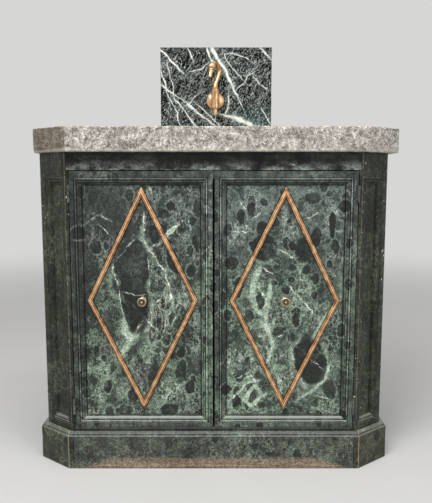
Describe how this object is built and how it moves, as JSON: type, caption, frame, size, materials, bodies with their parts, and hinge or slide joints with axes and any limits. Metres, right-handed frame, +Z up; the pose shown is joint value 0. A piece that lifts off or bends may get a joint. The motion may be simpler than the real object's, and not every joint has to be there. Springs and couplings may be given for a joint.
{
  "type": "washstand",
  "caption": "Painted washstand with canted corners, hinged panelled doors with applied lozenges, a stone top with a carved basin, and a marble backsplash with a swivelling swan-neck tap.",
  "frame": {"origin": "on the floor, under the middle of the stone top's width and of the object's whole depth", "axes": "+Z up, front of the cabinet towards -Y, +X to the right seen from the front"},
  "size_m": [0.934, 0.4846, 1.147],
  "materials": {
    "marbled_frame": "painted marble imitation, satin, worn arrises",
    "marbled_panel": "painted marble imitation, satin",
    "bare_wood": "unpainted old softwood",
    "lozenge_wood": "copper-gold bronzed wood, satin",
    "slab_stone": "honed mottled grey-beige marble",
    "green_marble": "polished dark green marble with white veins",
    "brass": "polished golden brass",
    "aged_brass": "aged pinkish brass",
    "painted_hinge": "painted over with the cabinet, worn to metal at the knuckles",
    "catch_steel": "zinc plated"
  },
  "bodies": {
    "cabinet": {"frieze_rail": "marbled_frame", "side_left": "marbled_frame", "side_right": "marbled_frame", "front_bearer": "bare_wood", "back_panel": "bare_wood", "floor_board": "bare_wood", "cant_post_front_left": "marbled_frame", "cant_stile_back_left": "marbled_frame", "cant_rail_top_left": "marbled_frame", "cant_rail_bottom_left": "marbled_frame", "cant_panel_left": "marbled_panel", "plinth_cant_left": "marbled_frame", "plinth_cap_cant_left": "marbled_frame", "plinth_side_left": "marbled_frame", "hinge_top_left_post_leaf": "painted_hinge", "hinge_bottom_left_post_leaf": "painted_hinge", "cant_post_front_right": "marbled_frame", "cant_stile_back_right": "marbled_frame", "cant_rail_top_right": "marbled_frame", "cant_rail_bottom_right": "marbled_frame", "cant_panel_right": "marbled_panel", "plinth_cant_right": "marbled_frame", "plinth_cap_cant_right": "marbled_frame", "plinth_side_right": "marbled_frame", "hinge_top_right_post_leaf": "painted_hinge", "hinge_bottom_right_post_leaf": "painted_hinge", "plinth_front": "marbled_frame", "plinth_cap_front": "marbled_frame", "catch_block": "catch_steel", "stone_top": "slab_stone", "backsplash": "green_marble", "tap_body": "brass", "tap_rosette": "brass", "tap_backnut": "brass", "tap_collar": "brass", "waste_strainer": "brass", "waste_pipe": "brass", "waste_trap": "brass", "waste_locknut": "brass", "waste_slip_nut": "brass"},
    "door_left": {"door_stile_hinge_left": "marbled_frame", "door_stile_meeting_left": "marbled_frame", "door_rail_top_left": "marbled_frame", "door_rail_bottom_left": "marbled_frame", "door_panel_left": "marbled_panel", "lozenge_left": "lozenge_wood", "knob_left": "aged_brass", "hinge_top_left_door_leaf": "painted_hinge", "hinge_bottom_left_door_leaf": "painted_hinge"},
    "door_right": {"door_stile_hinge_right": "marbled_frame", "door_stile_meeting_right": "marbled_frame", "door_rail_top_right": "marbled_frame", "door_rail_bottom_right": "marbled_frame", "door_panel_right": "marbled_panel", "lozenge_right": "lozenge_wood", "knob_right": "aged_brass", "hinge_top_right_door_leaf": "painted_hinge", "hinge_bottom_right_door_leaf": "painted_hinge"},
    "spout": {"tap_spout": "brass", "tap_tail_nut": "brass"}
  },
  "joints": [
    {"name": "door_left_hinge", "type": "hinge", "parent": "cabinet", "child": "door_left", "pos_m": [-0.364, -0.2291, 0.4325], "axis": [0, 0, -1], "range_deg": [0, 165]},
    {"name": "door_right_hinge", "type": "hinge", "parent": "cabinet", "child": "door_right", "pos_m": [0.352, -0.2291, 0.4325], "axis": [0, 0, 1], "range_deg": [0, 165]},
    {"name": "spout_turn", "type": "hinge", "parent": "cabinet", "child": "spout", "pos_m": [-0.0027, 0.1443, 1.013], "axis": [0, 0, 1], "range_deg": [-50, 130]}
  ]
}
